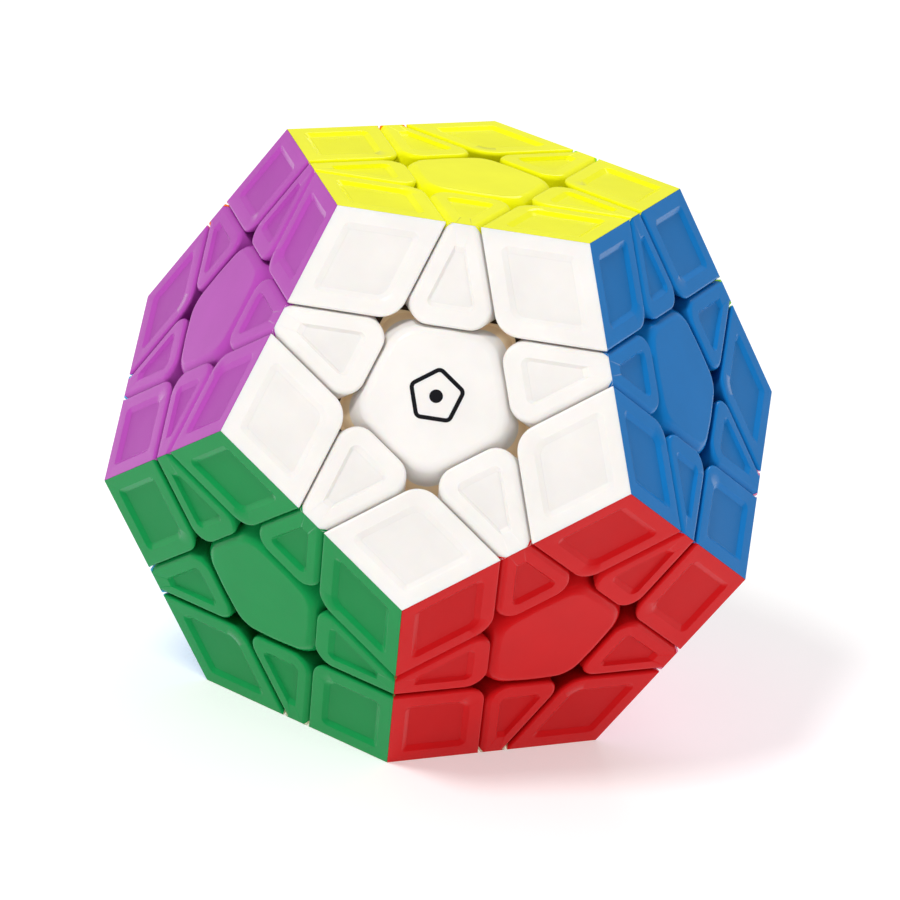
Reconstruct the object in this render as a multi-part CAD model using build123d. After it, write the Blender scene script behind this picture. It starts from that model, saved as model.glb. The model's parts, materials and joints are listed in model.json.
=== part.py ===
from build123d import *
import itertools
import math
import os

# A dodecahedron twisty puzzle. Each of the twelve faces turns about its own axis and carries one centre,
# five edge pieces and five corner pieces with it. The puzzle rests on its cream face, with the yellow face
# on top and the white face to the front. The origin is the middle of the cream face and +Z is up.
#
# Every piece is bounded by the same turning surface, which is a surface of revolution about a face's axis.
# From the outside inwards it is a plane, a steep cone, a short spherical step and a wider cone. The wider
# cone leaves a foot on each edge piece, held under the centres, and one on each corner piece, held under
# the edge pieces, so that the twelve sprung screws of the centres hold everything together.

# Driving dimensions, in mm and degrees
EDGE_LENGTH = 30.0        # one edge of the dodecahedron
CUT_SHARE = 0.66          # distance of the turning cuts from the core's middle, over that of the faces
GAP = 0.24                # between neighbouring pieces
SHELL_WALL = 1.4          # coloured shells of the edge and corner pieces
BORDER_ROUND = 0.5        # rounding of each face along its cuts
TIP_ROUND = 3.2           # inner tip of a corner piece, seen from outside
EDGE_TIP_ROUND = 2.2      # inner tips of an edge piece, seen from outside
CAP_TIP_ROUND = 3.0       # corners of a centre cap, seen from outside
PANEL_DEPTH = 0.4         # recessed panel in each coloured face
PANEL_SLOPE = 1.0         # run of the panel's walls, over their depth
CORNER_RIM = 2.2          # face border round a corner piece's panel
EDGE_RIM = 2.0            # face border round an edge piece's panel
NECK_ANGLE = 43.5         # steep cone, measured from the face's axis
FOOT_ANGLE = 50.0         # wider cone
FOOT_TOP = 20.5           # sphere on top of the feet
FOOT_BOTTOM = 16.0        # sphere round the core
CORNER_HEAD_TOP = 33.4    # top of a corner foot's head, inside its shells
EDGE_HEAD_TOP = 30.5      # top of an edge foot's head
CAP_BOTTOM = 28.6         # height of the joint between a hub and its cap
CAP_WALL = 1.5
HUB_JOINT_GAP = 0.05      # between a hub and its cap
HUB_POCKET_RADIUS = 6.2   # ring-shaped pocket round a hub's spring guide
HUB_POCKET_FLOOR = 22.0
GUIDE_RADIUS = 4.0        # outside of a hub's spring guide
SPIGOT_RADIUS = 7.2       # hub's ring inside the cap
SPIGOT_TOP = 31.0
SPIGOT_LAP = 1.0
BALL_RADIUS = 9.0         # middle of the core
POST_RADIUS = 3.2         # core's twelve posts
WELL_RADIUS = 3.0         # spring's well in a hub
WELL_FLOOR = 18.2
SCREW_RADIUS = 1.25
SCREW_HOLE_RADIUS = 1.3   # in the core's posts
HUB_BORE_RADIUS = 1.4     # in a hub's floor, which turns on the screw
SCREW_TIP = 8.0
HEAD_RADIUS = 2.3
HEAD_HEIGHT = 1.6
HEAD_ROUND = 0.5
CROSS_SLOT = (2.4, 0.6, 1.6)
WASHER_RADIUS = 2.8
WASHER_BORE_RADIUS = 1.35
WASHER_THICKNESS = 0.5
WASHER_BOTTOM = 26.0
SPRING_RADIUS = 2.1       # to the middle of the wire
SPRING_WIRE = 0.5
SPRING_TURNS = 6
END_CLEARANCE = 0.1       # each end of a spring

# Angles and distances of the dodecahedron
FACE_ANGLE = math.degrees(math.atan(2))                                  # between neighbouring axes
EDGE_TILT = FACE_ANGLE / 2                                               # face axis to mid-edge
CORNER_TILT = math.degrees(math.acos(math.sqrt((5 + 2 * math.sqrt(5)) / 15)))  # face axis to vertex
END_TILT = 90 - EDGE_TILT                                                # mid-edge to the end faces' axes
FACE_DISTANCE = EDGE_LENGTH / 2 * math.sqrt((25 + 11 * math.sqrt(5)) / 10)
APOTHEM = FACE_DISTANCE * math.tan(math.radians(EDGE_TILT))              # face's middle to its edges
CUT = CUT_SHARE * FACE_DISTANCE
HALF_GAP = GAP / 2
NECK_TOP = CUT / math.cos(math.radians(NECK_ANGLE))                      # where the cone meets the plane
LARGE = 4 * EDGE_LENGTH

# Each colour's face axis: its angle from +Z and its direction round Z
UPPER = FACE_ANGLE
LOWER = 180 - FACE_ANGLE
FACES = {
    "yellow": (0, 0),
    "white": (UPPER, -90),
    "blue": (UPPER, -18),
    "lime": (UPPER, 54),
    "orange": (UPPER, 126),
    "purple": (UPPER, 198),
    "red": (LOWER, -54),
    "pink": (LOWER, 18),
    "gray": (LOWER, 90),
    "lightblue": (LOWER, 162),
    "green": (LOWER, 234),
    "cream": (180, 0),
}

# The three faces that the core stays with: their centres, the edges between them and their shared corner
FIXED = ("gray", "lightblue", "cream")


def direction(tilt, turn):
    """Unit vector at an angle from +Z and a direction round Z."""
    tilt, turn = math.radians(tilt), math.radians(turn)
    return Vector(math.sin(tilt) * math.cos(turn), math.sin(tilt) * math.sin(turn), math.cos(tilt))


AXES = {name: direction(*angles) for name, angles in FACES.items()}


def facing(axis, towards=None):
    """Location at the core's middle, with Z along the axis and X leaning to another direction."""
    if towards is None:
        return Plane((0, 0, 0), z_dir=axis).location
    return Plane((0, 0, 0), x_dir=towards - axis * axis.dot(towards), z_dir=axis).location


def half_space(axis, distance, inside):
    """Large block on one side of a plane: the core's side if inside is true."""
    block = Box(LARGE, LARGE, LARGE, align=(Align.CENTER, Align.CENTER, Align.MAX if inside else Align.MIN))
    return facing(axis) * Pos(0, 0, distance) * block


def between(outer, inner):
    """Convex block inside some planes and outside others, each given as an axis and a distance."""
    planes = [half_space(*plane, True) for plane in outer] + [half_space(*plane, False) for plane in inner]
    block = planes[0]
    for plane in planes[1:]:
        block &= plane
    return block


def cone_point(angle, radius, shrink):
    """Point of a cone about Z, moved inwards by shrink, at a distance from the apex: radius and height."""
    along = math.sqrt(radius**2 - shrink**2)
    sine, cosine = math.sin(math.radians(angle)), math.cos(math.radians(angle))
    return (along * sine - shrink * cosine, along * cosine + shrink * sine)


def layer(shrink):
    """Everything that turns with the face on +Z, moved inwards by shrink all round."""
    sine, cosine = math.sin(math.radians(NECK_ANGLE)), math.cos(math.radians(NECK_ANGLE))
    plane = CUT + shrink
    along = (plane - shrink * sine) / cosine
    neck_top = (along * sine - shrink * cosine, plane)
    neck_bottom = cone_point(NECK_ANGLE, FOOT_TOP - shrink, shrink)
    foot_top = cone_point(FOOT_ANGLE, FOOT_TOP - shrink, shrink)
    foot_bottom = cone_point(FOOT_ANGLE, FOOT_BOTTOM + shrink, shrink)
    step_angle = math.radians((NECK_ANGLE + FOOT_ANGLE) / 2)
    step_middle = ((FOOT_TOP - shrink) * math.sin(step_angle), (FOOT_TOP - shrink) * math.cos(step_angle))
    base_angle = math.radians(FOOT_ANGLE / 2)
    base_radius = FOOT_BOTTOM + shrink
    base_middle = (base_radius * math.sin(base_angle), base_radius * math.cos(base_angle))
    outline = (
        Polyline((0, base_radius), (0, LARGE), (LARGE, LARGE), (LARGE, plane), neck_top, neck_bottom)
        + ThreePointArc(neck_bottom, step_middle, foot_top)
        + Line(foot_top, foot_bottom)
        + ThreePointArc(foot_bottom, base_middle, (0, base_radius))
    )
    return revolve(Plane.XZ * make_face(outline), Axis.Z)


INSIDE_LAYER = layer(HALF_GAP)
OUTSIDE_LAYER = layer(-HALF_GAP)


def drawn_in(planes, amount):
    """The same planes, each moved along its axis."""
    return [(axis, distance + amount) for axis, distance in planes]


def crossing(first, second):
    """Where two lines of a face meet, each given as its normal's direction and its distance."""
    (a, p), (b, q) = first, second
    a, b = math.radians(a), math.radians(b)
    x = (p * math.sin(b) - q * math.sin(a)) / math.sin(b - a)
    y = (q * math.cos(a) - p * math.cos(b)) / math.sin(b - a)
    return (x, y)


CUT_LINE = (CUT - FACE_DISTANCE * math.cos(math.radians(FACE_ANGLE))) / math.sin(math.radians(FACE_ANGLE))


def corner_panel(rim):
    """Outline of a corner piece's face, drawn in by rim. X runs from the face's middle to the vertex."""
    low, high = CUT_LINE + rim, APOTHEM - rim
    lines = [((36, low), (-36, low)), ((36, low), (-36, high)), ((36, high), (-36, high)), ((36, high), (-36, low))]
    return [crossing(*pair) for pair in lines]


def edge_panel(rim):
    """Outline of an edge piece's face, drawn in by rim. X runs from the face's middle to the mid-edge."""
    base, side = (0, CUT_LINE + rim), CUT_LINE - rim
    return [crossing(base, (-72, side)), crossing((-72, side), (72, side)), crossing((72, side), base)]


def panel_cut(outline, rim, axis, tip):
    """Recess of a coloured face, with sloped walls."""
    run = PANEL_DEPTH * PANEL_SLOPE
    face = Plane(axis * FACE_DISTANCE, x_dir=tip - axis * axis.dot(tip), z_dir=axis)
    mouth = make_face(Polyline(*outline(rim - run), close=True))
    floor = make_face(Polyline(*outline(rim + run), close=True))
    return loft([face.offset(PANEL_DEPTH) * mouth, face.offset(-PANEL_DEPTH) * floor])


def edges_on(block, planes, count):
    """Edges of a block that lie on exactly count of some planes, each given as an axis and a distance."""
    found = []
    for edge in block.edges():
        points = (edge @ 0, edge @ 0.5, edge @ 1)
        on = [axis for axis, distance in planes if all(abs(p.dot(axis) - distance) < 0.01 for p in points)]
        if len(on) == count:
            found.append(edge)
    return found


def corner_solids():
    """Foot and three coloured shells of a corner piece. Z runs to the vertex, X leans to the first face."""
    up = Vector(0, 0, 1)
    axes = [direction(CORNER_TILT, turn) for turn in (0, 120, 240)]
    faces = [(axis, FACE_DISTANCE) for axis in axes]
    cuts = [(axis, CUT + HALF_GAP) for axis in axes]
    block = between(faces, cuts)
    block = fillet(edges_on(block, cuts, 2), TIP_ROUND)
    block = fillet(edges_on(block, faces, 1), BORDER_ROUND)
    hollow = between(drawn_in(faces, -SHELL_WALL), drawn_in(cuts, SHELL_WALL))
    foot = Sphere(NECK_TOP)
    for axis in axes:
        foot &= facing(axis) * INSIDE_LAYER
    shells = block - hollow - foot
    for axis in axes:
        shells -= panel_cut(corner_panel, CORNER_RIM, axis, up)
    foot += hollow & half_space(up, CORNER_HEAD_TOP, True)
    wide = (LARGE * math.cos(math.radians(60)), LARGE * math.sin(math.radians(60)))
    sector = extrude(make_face(Polyline((0, 0), (wide[0], -wide[1]), wide, close=True)), LARGE)
    return [foot] + [shells & Rot(0, 0, turn) * sector for turn in (0, 120, 240)]


def edge_solids():
    """Foot and two coloured shells of an edge piece. Z runs to the mid-edge, X leans to the first face."""
    up = Vector(0, 0, 1)
    axes = [direction(EDGE_TILT, turn) for turn in (0, 180)]
    ends = [direction(END_TILT, turn) for turn in (90, 270)]
    faces = [(axis, FACE_DISTANCE) for axis in axes]
    cuts = [(axis, CUT + HALF_GAP) for axis in axes]
    sides = [(axis, CUT - HALF_GAP) for axis in ends]
    block = between(faces + sides, cuts)
    uprights = [edge for edge in edges_on(block, cuts + sides, 2) if abs((edge @ 0.5).Y) > 0.1]
    block = fillet(uprights, EDGE_TIP_ROUND)
    block = fillet(edges_on(block, faces, 1), BORDER_ROUND)
    hollow = between(drawn_in(faces + sides, -SHELL_WALL), drawn_in(cuts, SHELL_WALL))
    foot = Sphere(NECK_TOP)
    for axis in axes:
        foot &= facing(axis) * INSIDE_LAYER
    for axis in ends:
        foot -= facing(axis) * OUTSIDE_LAYER
        block -= facing(axis) * OUTSIDE_LAYER
    shells = block - hollow - foot
    for axis in axes:
        shells -= panel_cut(edge_panel, EDGE_RIM, axis, up)
    foot += hollow & half_space(up, EDGE_HEAD_TOP, True)
    return [foot] + [shells & half_space(Vector(side, 0, 0), 0, False) for side in (1, -1)]


def centre_solids():
    """Hub and cap of a face's centre. Z runs along the face's axis, X leans to a neighbouring face."""
    up = Vector(0, 0, 1)
    neighbours = [direction(FACE_ANGLE, turn) for turn in range(0, 360, 72)]
    face = [(up, FACE_DISTANCE)]
    sides = [(axis, CUT - HALF_GAP) for axis in neighbours]
    block = between(face + sides, [(up, CAP_BOTTOM)])
    block = fillet(edges_on(block, sides, 2), CAP_TIP_ROUND)
    block = fillet(edges_on(block, face, 1), BORDER_ROUND)
    cap = block - between(drawn_in(face + sides, -CAP_WALL), [(up, 0)])
    hub = Cylinder(CUT, CAP_BOTTOM - HUB_JOINT_GAP, align=(Align.CENTER, Align.CENTER, Align.MIN))
    hub -= Sphere(FOOT_BOTTOM + HALF_GAP)
    for axis in neighbours:
        hub -= facing(axis) * OUTSIDE_LAYER
    hub -= bore(WELL_RADIUS, WELL_FLOOR, CAP_BOTTOM)
    hub -= bore(HUB_BORE_RADIUS, 0, WELL_FLOOR)
    hub -= bore(HUB_POCKET_RADIUS, HUB_POCKET_FLOOR, CAP_BOTTOM) - bore(GUIDE_RADIUS, 0, LARGE)
    hub += bore(SPIGOT_RADIUS, CAP_BOTTOM - SPIGOT_LAP, SPIGOT_TOP) - bore(HUB_POCKET_RADIUS, 0, LARGE)
    return [hub, cap]


def bore(radius, bottom, top):
    """Cylinder about Z between two heights."""
    return Pos(0, 0, bottom) * Cylinder(radius, top - bottom, align=(Align.CENTER, Align.CENTER, Align.MIN))


def screw_solid():
    """Pan-head screw with a cross recess, with its axis on Z."""
    head_bottom = WASHER_BOTTOM + WASHER_THICKNESS
    head_top = head_bottom + HEAD_HEIGHT
    head = bore(HEAD_RADIUS, head_bottom, head_top)
    head = fillet(head.edges().group_by(Axis.Z)[-1], HEAD_ROUND)
    recess = Pos(0, 0, head_top) * (Box(*CROSS_SLOT) + Rot(0, 0, 90) * Box(*CROSS_SLOT))
    return head + bore(SCREW_RADIUS, SCREW_TIP, head_bottom) - recess


def spring_solid():
    """Compression spring in a hub's well, with its axis on Z."""
    bottom = WELL_FLOOR + END_CLEARANCE + SPRING_WIRE / 2
    top = WASHER_BOTTOM - END_CLEARANCE - SPRING_WIRE / 2
    coil = Helix((top - bottom) / SPRING_TURNS, top - bottom, SPRING_RADIUS, center=(0, 0, bottom))
    wire = Plane(coil @ 0, z_dir=coil % 0) * Circle(SPRING_WIRE / 2)
    return sweep(wire, path=coil, is_frenet=True)


def washer_solid():
    """Washer between a spring and its screw's head, with its axis on Z."""
    top = WASHER_BOTTOM + WASHER_THICKNESS
    return bore(WASHER_RADIUS, WASHER_BOTTOM, top) - bore(WASHER_BORE_RADIUS, WASHER_BOTTOM, top)


def core_solid():
    """Core: a ball with a tapped post along every face's axis."""
    core = Sphere(BALL_RADIUS)
    for axis in AXES.values():
        core += facing(axis) * bore(POST_RADIUS, 0, FOOT_BOTTOM)
    core &= Sphere(FOOT_BOTTOM - HALF_GAP)
    for axis in AXES.values():
        core -= facing(axis) * bore(SCREW_HOLE_RADIUS, SCREW_TIP - END_CLEARANCE, FOOT_BOTTOM)
    return core


def touching(names):
    """True if every pair of the named faces shares an edge."""
    limit = math.cos(math.radians(FACE_ANGLE)) - 0.01
    return all(AXES[a].dot(AXES[b]) > limit for a, b in itertools.combinations(names, 2))


def write(node, solids):
    """Write one node's solids, standing on the cream face."""
    lifted = [Pos(0, 0, FACE_DISTANCE) * solid for group in solids for solid in group.solids()]
    export_step(Compound(lifted), f"parts/{node}.step")


def towards_neighbour(name):
    """Axis of some face next to the named one."""
    return next(AXES[other] for other in FACES if other != name and touching((name, other)))


def node_of(family, names):
    """Node of a piece: its own, or one shared with the pieces that always move as it does."""
    turning = [name for name in names if name not in FIXED]
    if not turning:
        return f"fixed_{family}s"
    if family == "edge" and len(turning) == 1:
        partners = [name for name in FIXED if touching((turning[0], name))]
        prefix = "edge" if len(partners) == 1 else "edges"
        return "_".join([prefix] + turning + partners)
    return "_".join((family,) + names)


def main():
    os.makedirs("parts", exist_ok=True)
    nodes = {}
    families = {1: ("centre", centre_solids()), 2: ("edge", edge_solids()), 3: ("corner", corner_solids())}
    for count, (family, solids) in families.items():
        for names in itertools.combinations(FACES, count):
            if touching(names):
                axes = [AXES[name] for name in names]
                middle = sum(axes, Vector()).normalized()
                place = facing(middle, axes[0] if count > 1 else towards_neighbour(names[0]))
                nodes.setdefault(node_of(family, names), []).extend(place * solid for solid in solids)
    nodes["core"] = [core_solid()]
    fittings = {"screws": screw_solid(), "springs": spring_solid(), "washers": washer_solid()}
    for node, solid in fittings.items():
        nodes[node] = [facing(axis) * solid for axis in AXES.values()]
    for node, solids in nodes.items():
        write(node, solids)


main()
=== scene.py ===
import itertools
import json
import math

import bmesh
import bpy
from mathutils import Matrix, Vector


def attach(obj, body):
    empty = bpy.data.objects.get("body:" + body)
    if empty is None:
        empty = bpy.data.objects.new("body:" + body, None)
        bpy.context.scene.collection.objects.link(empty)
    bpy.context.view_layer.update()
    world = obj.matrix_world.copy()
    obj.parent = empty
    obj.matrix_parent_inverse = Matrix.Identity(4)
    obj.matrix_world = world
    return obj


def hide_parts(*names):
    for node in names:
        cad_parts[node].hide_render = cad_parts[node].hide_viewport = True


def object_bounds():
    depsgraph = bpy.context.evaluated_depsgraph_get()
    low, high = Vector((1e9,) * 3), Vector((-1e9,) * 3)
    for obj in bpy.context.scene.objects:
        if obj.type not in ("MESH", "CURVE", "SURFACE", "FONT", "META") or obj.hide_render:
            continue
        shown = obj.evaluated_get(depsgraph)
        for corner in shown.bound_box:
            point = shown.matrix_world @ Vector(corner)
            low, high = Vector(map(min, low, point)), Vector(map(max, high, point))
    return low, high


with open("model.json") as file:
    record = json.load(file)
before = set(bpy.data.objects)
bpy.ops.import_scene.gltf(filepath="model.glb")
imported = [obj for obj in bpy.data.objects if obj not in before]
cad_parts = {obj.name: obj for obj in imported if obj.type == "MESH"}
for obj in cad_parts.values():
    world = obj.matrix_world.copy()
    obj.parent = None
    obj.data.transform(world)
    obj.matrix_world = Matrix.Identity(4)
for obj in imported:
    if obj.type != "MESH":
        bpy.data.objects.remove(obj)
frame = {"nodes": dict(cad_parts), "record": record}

cad_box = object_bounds()
MM = 0.001

# Each colour's face axis: its angle from +Z and its direction round Z, in degrees
FACE_ANGLE = math.degrees(math.atan(2))
UPPER, LOWER = FACE_ANGLE, 180 - FACE_ANGLE
FACES = {
    "yellow": (0, 0),
    "white": (UPPER, -90),
    "blue": (UPPER, -18),
    "lime": (UPPER, 54),
    "orange": (UPPER, 126),
    "purple": (UPPER, 198),
    "red": (LOWER, -54),
    "pink": (LOWER, 18),
    "gray": (LOWER, 90),
    "lightblue": (LOWER, 162),
    "green": (LOWER, 234),
    "cream": (180, 0),
}

# Plastic colours, linear RGB
COLOURS = {
    "yellow": (0.93, 0.93, 0.006),
    "white": (0.86, 0.83, 0.80),
    "blue": (0.008, 0.185, 0.53),
    "lime": (0.30, 0.72, 0.04),
    "orange": (0.95, 0.20, 0.012),
    "purple": (0.47, 0.075, 0.46),
    "red": (0.58, 0.008, 0.010),
    "pink": (0.88, 0.26, 0.42),
    "gray": (0.24, 0.25, 0.26),
    "lightblue": (0.09, 0.46, 0.78),
    "green": (0.007, 0.285, 0.070),
    "cream": (0.84, 0.74, 0.50),
}
INNER = (0.075, 0.06, 0.05)
STEEL = (0.62, 0.62, 0.64)
INK = (0.012, 0.012, 0.014)
PAINTED_GLOW_COLOUR = (1.0, 0.72, 0.42)                   # painted glow: warm emission on pale walls, standing in for light that comes through the thin plastic

# The frame's distances, in mm: the core's middle to a face and to a turning cut, and the running gap
FACE = (cad_box[1][2] - cad_box[0][2]) / MM / 2
CUT = 0.66 * FACE
HALF_GAP = 0.12
MIDDLE = Vector((0, 0, FACE * MM))
UP = Vector((0, 0, 1))
SINE, COSINE = math.sin(math.radians(FACE_ANGLE)), math.cos(math.radians(FACE_ANGLE))
APOTHEM = FACE * math.tan(math.radians(FACE_ANGLE / 2))
CUT_LINE = (CUT - FACE * COSINE) / SINE
CUT_SLOPE = COSINE / SINE                  # a cut moves out by this, per mm of depth
MITRE_SLOPE = APOTHEM / FACE               # a mitre between two colours moves in by this
SKIN = HALF_GAP / SINE

# Details of the coloured shells, in mm
BORDER = 0.55          # rounding along the cuts
MITRE = 0.05           # rounding where two colours meet
MITRE_GAP = 0.01
CUT_RIM = 2.15         # raised rim round a panel, along the cuts
MITRE_RIM = 1.8        # and along the mitres
PANEL_WALL = 0.45      # width of a panel's sloped wall
PANEL_DEPTH = 0.42
PANEL_PROFILE = ((-0.12, 0), (0, 0.1), (0.94, 0.9), (1.22, 1))     # shares of the wall's width and depth
SHELL_DEPTH = 9.2      # of edge and corner shells, down their cuts
SHELL_WALL = 1.2
SHELL_FOOT_WALL = 0.5
CEILING = 1.7          # top of a shell's hollow, below its face
WAIST = 0.6            # share of a shell's depth above which its walls follow the cuts
CAP_DEPTH = 4.8
CAP_BORDER = 0.9
CAP_BULGE = 3          # lean of the two halves of each of a cap's sides, in degrees
ROUND_STEPS = 5
WALL_ROWS = 4          # rings of a shell's hollow and walls, below its border
MARK_SIZE = 2.9
MARK_LINE = 0.5
MARK_DOT = 0.8
PRINT_DEPTH = 0.015

# The mechanism under the shells, in mm and degrees
NECK_ANGLE = 43.5
FOOT_ANGLE = 50.0
FOOT_TOP = 20.5
FOOT_BOTTOM = 16.0
NECK_TOP = CUT / math.cos(math.radians(NECK_ANGLE)) - 0.1
HUB_TOP = 28.5
HUB_BORE = 1.4
WELL = 3.0
WELL_FLOOR = 18.2
GUIDE = 4.0
POCKET = 6.2
POCKET_FLOOR = 22.0
SPRING_RADIUS = 2.1
SPRING_WIRE = 0.25
SPRING_LOW = 18.55
SPRING_HIGH = 25.65
SPRING_TURNS = 6
SPRING_STEPS = 24
FOOT_STEPS = 90


def direction(tilt, turn):
    """Unit vector at an angle from +Z and a direction round Z."""
    tilt, turn = math.radians(tilt), math.radians(turn)
    return Vector((math.sin(tilt) * math.cos(turn), math.sin(tilt) * math.sin(turn), math.cos(tilt)))


AXES = {name: direction(*angles) for name, angles in FACES.items()}
FIXED = {name for name in FACES if f"centre_{name}" not in frame["nodes"]}


def touching(names):
    """True if every pair of the named faces shares an edge."""
    return all(AXES[a].dot(AXES[b]) > COSINE - 0.01 for a, b in itertools.combinations(names, 2))


def node_of(family, names):
    """CAD node that holds a piece, which may be shared with pieces that move as it does."""
    if set(names) <= FIXED:
        return f"fixed_{family}s"
    for node in sorted(frame["nodes"]):
        parts = node.split("_")
        if parts[0] in (family, family + "s") and set(names) <= set(parts[1:]):
            return node
    raise ValueError(f"no node holds {family} {names}")


NODE_BODY = {node: body for body, nodes in frame["record"]["behaviour"]["bodies"].items() for node in nodes}


# ---- materials ----

def new_material(name):
    material = bpy.data.materials.new(name)
    material.use_nodes = True
    return material, material.node_tree.nodes, material.node_tree.links


def noise(nodes, links, coordinates, scale, detail):
    texture = nodes.new("ShaderNodeTexNoise")
    texture.inputs["Scale"].default_value = scale
    texture.inputs["Detail"].default_value = detail
    links.new(coordinates.outputs["Object"], texture.inputs["Vector"])
    return texture


def spread(nodes, links, source, low, high):
    """Maps a texture's middle range to low..high."""
    mapping = nodes.new("ShaderNodeMapRange")
    mapping.inputs["From Min"].default_value = 0.3
    mapping.inputs["From Max"].default_value = 0.7
    mapping.inputs["To Min"].default_value = low
    mapping.inputs["To Max"].default_value = high
    links.new(source.outputs["Fac"], mapping.inputs["Value"])
    return mapping.outputs["Result"]


def plastic(name, colour, shade=1.0, roughness=(0.12, 0.2), grain=0.02, grain_scale=2500, subsurface=0.0,
            specular=0.17, painted_glow=0.0):
    """Moulded plastic: faint mottling of the colour, uneven gloss, a fine surface grain and an optional
    painted glow.
    """
    material, nodes, links = new_material(name)
    shader = nodes["Principled BSDF"]
    coordinates = nodes.new("ShaderNodeTexCoord")
    mottle = noise(nodes, links, coordinates, 160, 3)
    ramp = nodes.new("ShaderNodeValToRGB")
    ramp.color_ramp.elements[0].position = 0.3
    ramp.color_ramp.elements[0].color = (*[c * shade * 0.96 for c in colour], 1)
    ramp.color_ramp.elements[1].position = 0.7
    ramp.color_ramp.elements[1].color = (*[min(1.0, c * shade * 1.02) for c in colour], 1)
    links.new(mottle.outputs["Fac"], ramp.inputs["Fac"])
    links.new(ramp.outputs["Color"], shader.inputs["Base Color"])
    handling = noise(nodes, links, coordinates, 60, 4)
    links.new(spread(nodes, links, handling, *roughness), shader.inputs["Roughness"])
    fine = noise(nodes, links, coordinates, grain_scale, 2)
    bump = nodes.new("ShaderNodeBump")
    bump.inputs["Strength"].default_value = grain
    bump.inputs["Distance"].default_value = 0.05 * MM
    links.new(fine.outputs["Fac"], bump.inputs["Height"])
    links.new(bump.outputs["Normal"], shader.inputs["Normal"])
    shader.inputs["IOR"].default_value = 1.5
    shader.inputs["Specular IOR Level"].default_value = specular
    shader.inputs["Specular Tint"].default_value = (*colour, 1)
    if subsurface:
        shader.inputs["Subsurface Weight"].default_value = subsurface
        shader.inputs["Subsurface Radius"].default_value = (1.0, 0.6, 0.35)
        shader.inputs["Subsurface Scale"].default_value = 0.8 * MM
    # painted glow: emission standing in for light that shines through thin pale plastic
    if painted_glow:
        shader.inputs["Emission Color"].default_value = (*PAINTED_GLOW_COLOUR, 1)
        shader.inputs["Emission Strength"].default_value = painted_glow
    return material


def metal(name, colour):
    """Plated steel with fine turning marks."""
    material, nodes, links = new_material(name)
    shader = nodes["Principled BSDF"]
    shader.inputs["Base Color"].default_value = (*colour, 1)
    shader.inputs["Metallic"].default_value = 1.0
    coordinates = nodes.new("ShaderNodeTexCoord")
    marks = noise(nodes, links, coordinates, 900, 5)
    links.new(spread(nodes, links, marks, 0.22, 0.42), shader.inputs["Roughness"])
    bump = nodes.new("ShaderNodeBump")
    bump.inputs["Strength"].default_value = 0.15
    bump.inputs["Distance"].default_value = 0.02 * MM
    links.new(marks.outputs["Fac"], bump.inputs["Height"])
    links.new(bump.outputs["Normal"], shader.inputs["Normal"])
    return material


def coloured(name):
    """A colour's three finishes: glossy outside, finely grained panel darkened as painted shade, and walls
    in a darker, deeper tone as painted shade, with a painted glow on pale colours.
    """
    colour = COLOURS[name]
    pale = name in ("white", "cream")
    soft = 0.3 if pale else 0.0
    # painted shade: walls, hollows and hubs, seen only deep in the gaps, get a darker, deeper colour; on
    # pale plastic a warm tan
    painted_shade_colour = [c * t for c, t in zip(colour, (1.0, 0.84, 0.60))] if pale else [c ** 1.25 for c in colour]
    return [
        plastic(f"{name}_gloss", colour, subsurface=soft),
        # panel colour darkened (0.955 pale, 0.90 otherwise) as painted shade in the recess; its roughness
        # and grain are the real matte finish
        plastic(f"{name}_panel", colour, 0.955 if pale else 0.90, (0.34, 0.46), 0.10, 4200, soft, 0.16),
        # pale walls also get a painted glow
        plastic(f"{name}_walls", painted_shade_colour, subsurface=soft, painted_glow=0.12 if pale else 0.0),
    ]


PLASTICS = {name: coloured(name) for name in COLOURS}
INNER_PLASTIC = plastic("inner_plastic", INNER, 1.0, (0.35, 0.5), 0.05)
PLATED = metal("plated_steel", STEEL)
PRINT = plastic("printed_ink", INK, 1.0, (0.3, 0.45), 0.05)


# ---- meshes ----

def crossing(first, second):
    """Where two lines meet, each given as its normal's direction in degrees and its distance."""
    (a, p), (b, q) = first, second
    a, b = math.radians(a), math.radians(b)
    x = (p * math.sin(b) - q * math.sin(a)) / math.sin(b - a)
    y = (q * math.cos(a) - p * math.cos(b)) / math.sin(b - a)
    return x, y


def ring(sides, insets, depths, radii, steps):
    """One closed row of points round a shell.

    sides are (normal direction, distance at the face, outward drift per mm of depth), anticlockwise.
    insets and depths have one value for each side, radii and steps one for each corner after it.
    """
    lines = [(a, q + drift * d - inset) for (a, q, drift), inset, d in zip(sides, insets, depths)]
    points = []
    for i, (a, p) in enumerate(lines):
        j = (i + 1) % len(lines)
        b, q = lines[j]
        x, y = crossing((a, p - radii[i]), (b, q - radii[i]))
        turn = (b - a) % 360
        for k in range(steps[i] + 1):
            share = k / steps[i]
            angle = math.radians(a + turn * share)
            depth = depths[i] + (depths[j] - depths[i]) * share
            points.append((x + radii[i] * math.cos(angle), y + radii[i] * math.sin(angle), FACE - depth))
    return points


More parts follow.
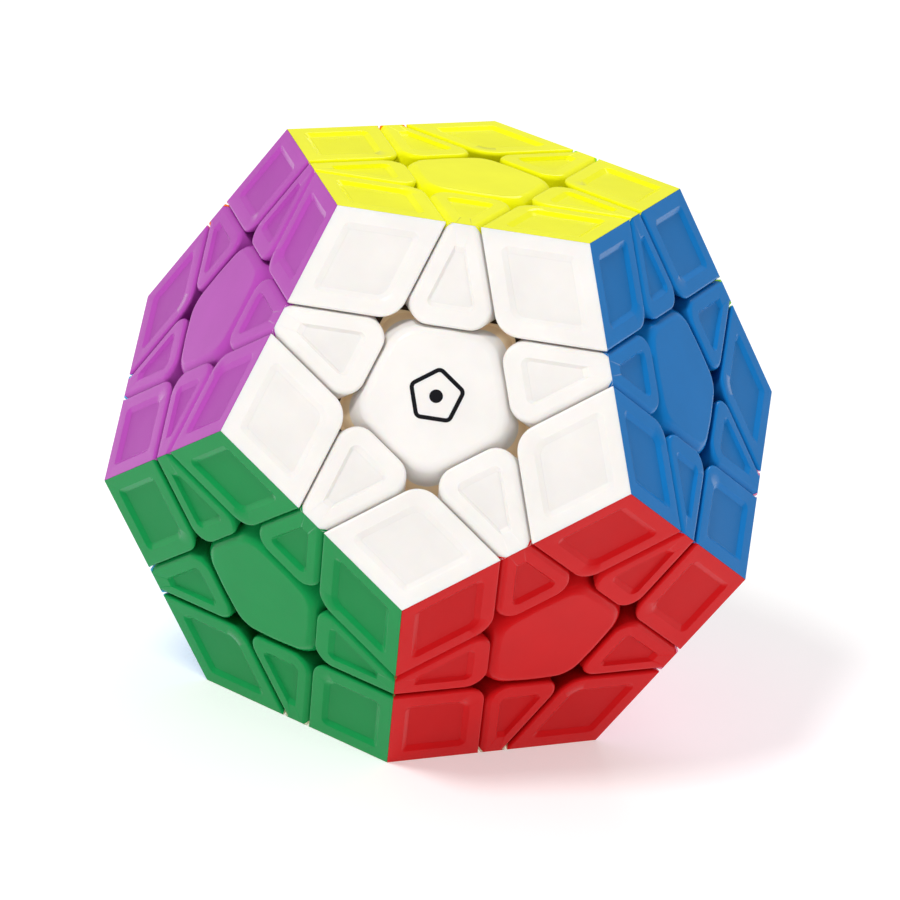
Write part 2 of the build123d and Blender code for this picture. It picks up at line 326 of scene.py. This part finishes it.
def lofted(name, rings, place, materials, bands=None, closed=False):
    """Mesh through a list of rings, with a flat end at each or closed on itself.

    bands says which of the materials each stretch of rings uses, as (first ring, material number).
    """
    bands = bands or [(0, 0)]
    mesh = bpy.data.meshes.new(name)
    build = bmesh.new()
    rows = [[build.verts.new(Vector(p) * MM) for p in row] for row in rings]
    count = len(rows[0])
    for r in range(len(rows) - (0 if closed else 1)):
        upper = rows[(r + 1) % len(rows)]
        for k in range(count):
            after = (k + 1) % count
            face = build.faces.new((rows[r][k], rows[r][after], upper[after], upper[k]))
            face.material_index = [number for first, number in bands if first <= r][-1]
    if not closed:
        bottom, top = build.faces.new(rows[0][::-1]), build.faces.new(rows[-1])
        bottom.material_index, top.material_index = bands[0][1], bands[-1][1]
    build.transform(place)
    bmesh.ops.remove_doubles(build, verts=build.verts, dist=0.001 * MM)
    bmesh.ops.recalc_face_normals(build, faces=build.faces)
    build.to_mesh(mesh)
    build.free()
    for material in materials:
        mesh.materials.append(material)
    return finished(name, mesh)


def finished(name, mesh, smooth_below=40):
    """Object of a mesh, smooth but for its sharp edges."""
    mesh.shade_smooth()
    mesh.set_sharp_from_angle(angle=math.radians(smooth_below))
    piece = bpy.data.objects.new(name, mesh)
    bpy.context.scene.collection.objects.link(piece)
    weighted = piece.modifiers.new("weighted_normals", "WEIGHTED_NORMAL")
    weighted.keep_sharp = True
    return piece


def shrunk(radii, amount):
    return [max(radius - amount, 0.04) for radius in radii]


def rounding(radius, step):
    """Inset and depth on a quarter round, from the wall up to the face."""
    angle = math.radians(90 * (1 - step / ROUND_STEPS))
    return radius * (1 - math.sin(angle)), radius * (1 - math.cos(angle))


def hollow_and_walls(sides, radii, steps, depth, wall, foot_wall, extra):
    """Rings from a shell's inner ceiling down its hollow and up its outer walls to the rounding."""
    count = len(sides)
    rows = [ring(sides, [wall] * count, [CEILING] * count, shrunk(radii, wall), steps)]
    mid = depth * WAIST
    rows.append(ring(sides, [wall] * count, [mid] * count, shrunk(radii, wall), steps))
    inner = [foot_wall + e for e in extra]
    rows.append(ring(sides, inner, [depth] * count, shrunk(radii, foot_wall), steps))
    rows.append(ring(sides, extra, [depth] * count, radii, steps))
    rows.append(ring(sides, [0] * count, [mid] * count, radii, steps))
    return rows


def shell_rings(sides, borders, radii, steps, rims, panel_radii, extra):
    """Rings of a coloured shell, from its hollow, over the border and rim, to its panel's floor."""
    rows = hollow_and_walls(sides, radii, steps, SHELL_DEPTH, SHELL_WALL, SHELL_FOOT_WALL, extra)
    for step in range(ROUND_STEPS + 1):
        insets, depths = zip(*[rounding(border, step) for border in borders])
        rows.append(ring(sides, insets, depths, shrunk(radii, max(insets)), steps))
    flat = [0] * len(sides)
    for run, depth in PANEL_PROFILE:
        insets = [rim + PANEL_WALL * run for rim in rims]
        depths = [PANEL_DEPTH * depth] * len(sides) if depth else flat
        rows.append(ring(sides, insets, depths, shrunk(panel_radii, PANEL_WALL * run), steps))
    return rows


def corner_rings():
    """Shell of a corner piece. X runs from the face's middle to the vertex."""
    cut, mitre = -(CUT_LINE + SKIN), APOTHEM - MITRE_GAP
    sides = [
        (36, mitre, -MITRE_SLOPE),
        (144, cut, -CUT_SLOPE),
        (216, cut, -CUT_SLOPE),
        (324, mitre, -MITRE_SLOPE),
    ]
    return shell_rings(
        sides,
        borders=[MITRE, BORDER, BORDER, MITRE],
        radii=[0.12, 3.3, 0.12, 0.04],
        steps=[4, 12, 4, 2],
        rims=[MITRE_RIM, CUT_RIM, CUT_RIM, MITRE_RIM],
        panel_radii=[0.7, 1.9, 0.7, 0.7],
        extra=[0, 0, 0, 0],
    )


def edge_rings():
    """Shell of an edge piece. X runs from the face's middle to the mid-edge."""
    side = CUT_LINE - SKIN
    sides = [
        (0, APOTHEM - MITRE_GAP, -MITRE_SLOPE),
        (72, side, CUT_SLOPE),
        (180, -(CUT_LINE + SKIN), -CUT_SLOPE),
        (288, side, CUT_SLOPE),
    ]
    return shell_rings(
        sides,
        borders=[MITRE, BORDER, BORDER, BORDER],
        radii=[0.12, 2.4, 2.4, 0.12],
        steps=[4, 8, 8, 4],
        rims=[2.6, 1.7, 2.3, 1.7],
        panel_radii=[0.14, 0.8, 0.8, 0.14],
        extra=[0, 1.75, 0, 1.75],
    )


def cap_rings():
    """Cap of a centre. X runs from the face's middle to a mid-edge."""
    distance = (CUT_LINE - SKIN) * math.cos(math.radians(CAP_BULGE))
    sides = [(72 * k + lean, distance, CUT_SLOPE) for k in range(5) for lean in (-CAP_BULGE, CAP_BULGE)]
    radii, steps = [25, 3.5] * 5, [6, 9] * 5
    rows = hollow_and_walls(sides, radii, steps, CAP_DEPTH, SHELL_WALL, SHELL_WALL, [0] * 10)
    for step in range(ROUND_STEPS + 1):
        inset, depth = rounding(CAP_BORDER, step)
        rows.append(ring(sides, [inset] * 10, [depth] * 10, shrunk(radii, inset), steps))
    return rows


def face_place(axis, towards):
    """Matrix from a face's own frame to the row frame: Z along its axis, X leaning to another direction."""
    across = (towards - axis * axis.dot(towards)).normalized()
    turn = Matrix((across, axis.cross(across), axis)).transposed().to_4x4()
    return Matrix.Translation(MIDDLE) @ turn


def reach(angle_in, angle_out, own, others, turn):
    """Angle from +Z at which a foot ends, one way round Z: inside its own cones, outside the others."""
    limits = []
    for tilt, heading in own + others:
        lean = math.sin(math.radians(tilt)) * math.cos(math.radians(turn - heading))
        level = math.cos(math.radians(tilt))
        length, offset = math.hypot(level, lean), math.atan2(lean, level)
        if (tilt, heading) in own:
            limits.append(offset + math.acos(math.cos(angle_in) / length))
        elif lean > 0 and math.cos(angle_out) < length:
            limits.append(offset - math.acos(math.cos(angle_out) / length))
    return min(limits)


def foot_row(radius, angle_in, angle_out, own, others, share=1.0):
    """One row of a foot, on a sphere about the core's middle."""
    gap = math.asin(HALF_GAP / radius)
    inner, outer = math.radians(angle_in) - gap, math.radians(angle_out) + gap
    points = []
    for k in range(FOOT_STEPS):
        turn = 360 * k / FOOT_STEPS
        tilt = reach(inner, outer, own, others, turn) * share
        points.append(tuple(radius * direction(math.degrees(tilt), turn)))
    return points


def circle(radius, height):
    """Round row about Z."""
    turns = [math.tau * k / FOOT_STEPS for k in range(FOOT_STEPS)]
    return [(radius * math.cos(t), radius * math.sin(t), height) for t in turns]


def foot_rings(own, others):
    """Foot and neck of an edge or corner piece, between the sphere round the core and its shells."""
    below, above = FOOT_TOP - HALF_GAP, FOOT_TOP + HALF_GAP
    bottom, top = FOOT_BOTTOM + HALF_GAP, NECK_TOP
    rows = [foot_row(bottom, FOOT_ANGLE, FOOT_ANGLE, own, others, share) for share in (0.1, 0.6, 0.97)]
    rows += [foot_row(bottom + 0.15, FOOT_ANGLE, FOOT_ANGLE, own, others)]
    rows += [foot_row(below - 0.15, FOOT_ANGLE, FOOT_ANGLE, own, others)]
    rows += [foot_row(below, FOOT_ANGLE, FOOT_ANGLE, own, others, 0.97)]
    rows += [foot_row(below, NECK_ANGLE, FOOT_ANGLE, own, others)]
    rows += [foot_row(above, NECK_ANGLE, FOOT_ANGLE, own, others)]
    rows += [foot_row(above, NECK_ANGLE, NECK_ANGLE, own, others)]
    rows += [foot_row(top, NECK_ANGLE, NECK_ANGLE, own, others, share) for share in (1.0, 0.6, 0.1)]
    return rows


def within_cuts(x, y, room):
    """Point of a hub's top row, drawn in to leave the neighbours' layers free."""
    farthest = max(x * math.cos(turn) + y * math.sin(turn) for turn in (math.tau * k / 5 for k in range(5)))
    share = min(1.0, room / farthest)
    return x * share, y * share, HUB_TOP


def hub_rings():
    """Hub of a centre, with the well for its screw and spring."""
    others = [(FACE_ANGLE, 72 * k) for k in range(5)]
    step = FOOT_TOP + HALF_GAP
    rows = [circle(HUB_BORE, FOOT_BOTTOM + HALF_GAP)]
    rows += [foot_row(FOOT_BOTTOM + HALF_GAP, 0, FOOT_ANGLE, [], others, share) for share in (0.6, 0.97)]
    rows += [foot_row(FOOT_BOTTOM + 0.3, 0, FOOT_ANGLE, [], others)]
    rows += [foot_row(step, 0, angle, [], others) for angle in (FOOT_ANGLE, NECK_ANGLE)]
    shoulder = foot_row(HUB_TOP + 1, 0, NECK_ANGLE, [], others)
    room = (CUT - HALF_GAP - HUB_TOP * COSINE) / SINE
    rows += [[within_cuts(x * HUB_TOP / z, y * HUB_TOP / z, room) for x, y, z in shoulder]]
    rows += [circle(POCKET, HUB_TOP), circle(POCKET, POCKET_FLOOR)]
    rows += [circle(GUIDE, POCKET_FLOOR), circle(GUIDE, HUB_TOP)]
    rows += [circle(WELL, HUB_TOP), circle(WELL, WELL_FLOOR), circle(HUB_BORE, WELL_FLOOR)]
    return rows


def make_spring(name):
    """Compression spring under a centre's screw, as a round wire along a helix."""
    count = SPRING_TURNS * SPRING_STEPS
    around = [math.tau * i / 10 for i in range(10)]
    rows = []
    for k in range(count + 1):
        angle = math.tau * SPRING_TURNS * k / count
        out = Vector((math.cos(angle), math.sin(angle), 0))
        height = SPRING_LOW + (SPRING_HIGH - SPRING_LOW) * k / count
        middle = out * SPRING_RADIUS + UP * height
        rows.append([middle + (out * math.cos(a) + UP * math.sin(a)) * SPRING_WIRE for a in around])
    place = face_place(AXES[name], next_to(name))
    spring = lofted(f"{name}_spring", rows, place, [PLATED])
    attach(spring, NODE_BODY["springs"])
    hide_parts("springs")


def placed(piece, node):
    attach(piece, NODE_BODY[node])
    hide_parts(node)


def next_to(name):
    """Axis of some face beside the named one."""
    return next(AXES[other] for other in FACES if other != name and touching((name, other)))


def make_centre(name):
    node = node_of("centre", (name,))
    place = face_place(AXES[name], next_to(name))
    # the cap's hollow and lower sides, and all of the hub, use the walls material, whose colour is painted
    # shade
    cap = lofted(f"{name}_cap", CAP_RINGS, place, PLASTICS[name], [(0, 2), (WALL_ROWS, 0)])
    hub = lofted(f"{name}_hub", HUB_RINGS, place, PLASTICS[name], [(0, 2)], closed=True)
    for piece in (cap, hub):
        placed(piece, node)


def make_piece(family, names, rings, foot_rows):
    node = node_of(family, names)
    heading = sum((AXES[name] for name in names), Vector()).normalized()
    title = "_".join((family,) + names)
    foot = lofted(f"{title}_foot", foot_rows, face_place(heading, AXES[names[0]]), [INNER_PLASTIC])
    placed(foot, node)
    # the hollow and walls use the walls material, coloured as painted shade; the panel floor uses the panel
    # material, darkened as painted shade
    bands = [(0, 2), (WALL_ROWS, 0), (len(rings) - 2, 1)]
    for name in names:
        place = face_place(AXES[name], heading)
        shell = lofted(f"{title}_{name}_shell", rings, place, PLASTICS[name], bands)
        placed(shell, node)


def make_mark():
    """Generic printed mark on the white cap: a pentagon outline round a dot."""
    sides = [(72 * k, MARK_SIZE, 0) for k in range(5)]
    section = [(0, 0), (0, -PRINT_DEPTH), (MARK_LINE, -PRINT_DEPTH), (MARK_LINE, 0)]
    outline = [ring(sides, [i] * 5, [d] * 5, shrunk([0.9] * 5, i), [6] * 5) for i, d in section]
    dot = [circle(MARK_DOT, FACE + depth) for depth in (0, PRINT_DEPTH)]
    place = face_place(AXES["white"], AXES["yellow"]) @ Matrix.Rotation(math.radians(36), 4, "Z")
    for name, rows, closed in (("printed_pentagon", outline, True), ("printed_dot", dot, False)):
        mark = lofted(name, rows, place, [PRINT], closed=closed)
        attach(mark, "centre_white")


EDGE_OWN = [(FACE_ANGLE / 2, 0), (FACE_ANGLE / 2, 180)]
EDGE_OTHERS = [(90 - FACE_ANGLE / 2, 90), (90 - FACE_ANGLE / 2, 270)]
VERTEX_TILT = math.degrees(math.acos(math.sqrt((5 + 2 * math.sqrt(5)) / 15)))
CORNER_OWN = [(VERTEX_TILT, 0), (VERTEX_TILT, 120), (VERTEX_TILT, 240)]
CAP_RINGS, HUB_RINGS = cap_rings(), hub_rings()
EDGE_SHELL, EDGE_FOOT = edge_rings(), foot_rings(EDGE_OWN, EDGE_OTHERS)
CORNER_SHELL, CORNER_FOOT = corner_rings(), foot_rings(CORNER_OWN, [])
for name in FACES:
    make_centre(name)
    make_spring(name)
for names in filter(touching, itertools.combinations(FACES, 2)):
    make_piece("edge", names, EDGE_SHELL, EDGE_FOOT)
for names in filter(touching, itertools.combinations(FACES, 3)):
    make_piece("corner", names, CORNER_SHELL, CORNER_FOOT)
make_mark()

for node, material in (("core", INNER_PLASTIC), ("screws", PLATED), ("washers", PLATED)):
    mesh = frame["nodes"][node].data
    mesh.materials.clear()
    mesh.materials.append(material)


# ---- floor, light and camera ----

FLOOR_SIZE = 6
FLOOR_SHADE = 0.75
FLOOR_GLOW = 0.4       # keeps the floor as pale as the sky
SKY_STRENGTH = 0.42
CAMERA_LENS = 227
CAMERA_PLACE = Vector((0.86243, -19.6801, 6.74858))     # in face distances from the core's middle
CAMERA_RIGHT = Vector((0.98761, 0.08664, 0.13083))
CAMERA_UP = Vector((-0.15183, 0.31705, 0.93617))


def make_floor():
    bpy.ops.mesh.primitive_plane_add(size=FLOOR_SIZE, location=(0, 0, cad_box[0][2]))
    floor = bpy.context.object
    floor.name = "floor"
    material, nodes, links = new_material("floor_paper")
    shader = nodes["Principled BSDF"]
    shader.inputs["Base Color"].default_value = (FLOOR_SHADE, FLOOR_SHADE, FLOOR_SHADE, 1)
    shader.inputs["Roughness"].default_value = 0.8
    shader.inputs["Emission Color"].default_value = (1, 1, 1, 1)
    shader.inputs["Emission Strength"].default_value = FLOOR_GLOW
    floor.data.materials.append(material)


def area_light(name, location, size, power):
    light = bpy.data.lights.new(name, "AREA")
    light.shape = "DISK"
    light.size = size
    light.energy = power
    lamp = bpy.data.objects.new(name, light)
    lamp.location = location
    lamp.rotation_euler = (MIDDLE - Vector(location)).to_track_quat("-Z", "Y").to_euler()
    bpy.context.scene.collection.objects.link(lamp)


def make_camera():
    camera = bpy.data.cameras.new("camera")
    camera.lens = CAMERA_LENS
    camera.sensor_width = 36
    view = bpy.data.objects.new("camera", camera)
    turn = Matrix((CAMERA_RIGHT, CAMERA_UP, CAMERA_RIGHT.cross(CAMERA_UP))).transposed().to_4x4()
    view.matrix_world = Matrix.Translation(MIDDLE + CAMERA_PLACE * FACE * MM) @ turn
    bpy.context.scene.collection.objects.link(view)
    bpy.context.scene.camera = view


make_floor()
area_light("key", (-0.35, -0.45, 0.85), 0.25, 5.6)
area_light("fill", (0.75, -0.55, 0.35), 0.5, 1.5)
area_light("rim", (0.1, 0.8, 0.8), 0.5, 2.5)
world = bpy.data.worlds.new("studio")
world.use_nodes = True
world.node_tree.nodes["Background"].inputs["Color"].default_value = (1, 1, 1, 1)
world.node_tree.nodes["Background"].inputs["Strength"].default_value = SKY_STRENGTH
bpy.context.scene.world = world
bpy.context.scene.view_settings.view_transform = "Standard"
make_camera()
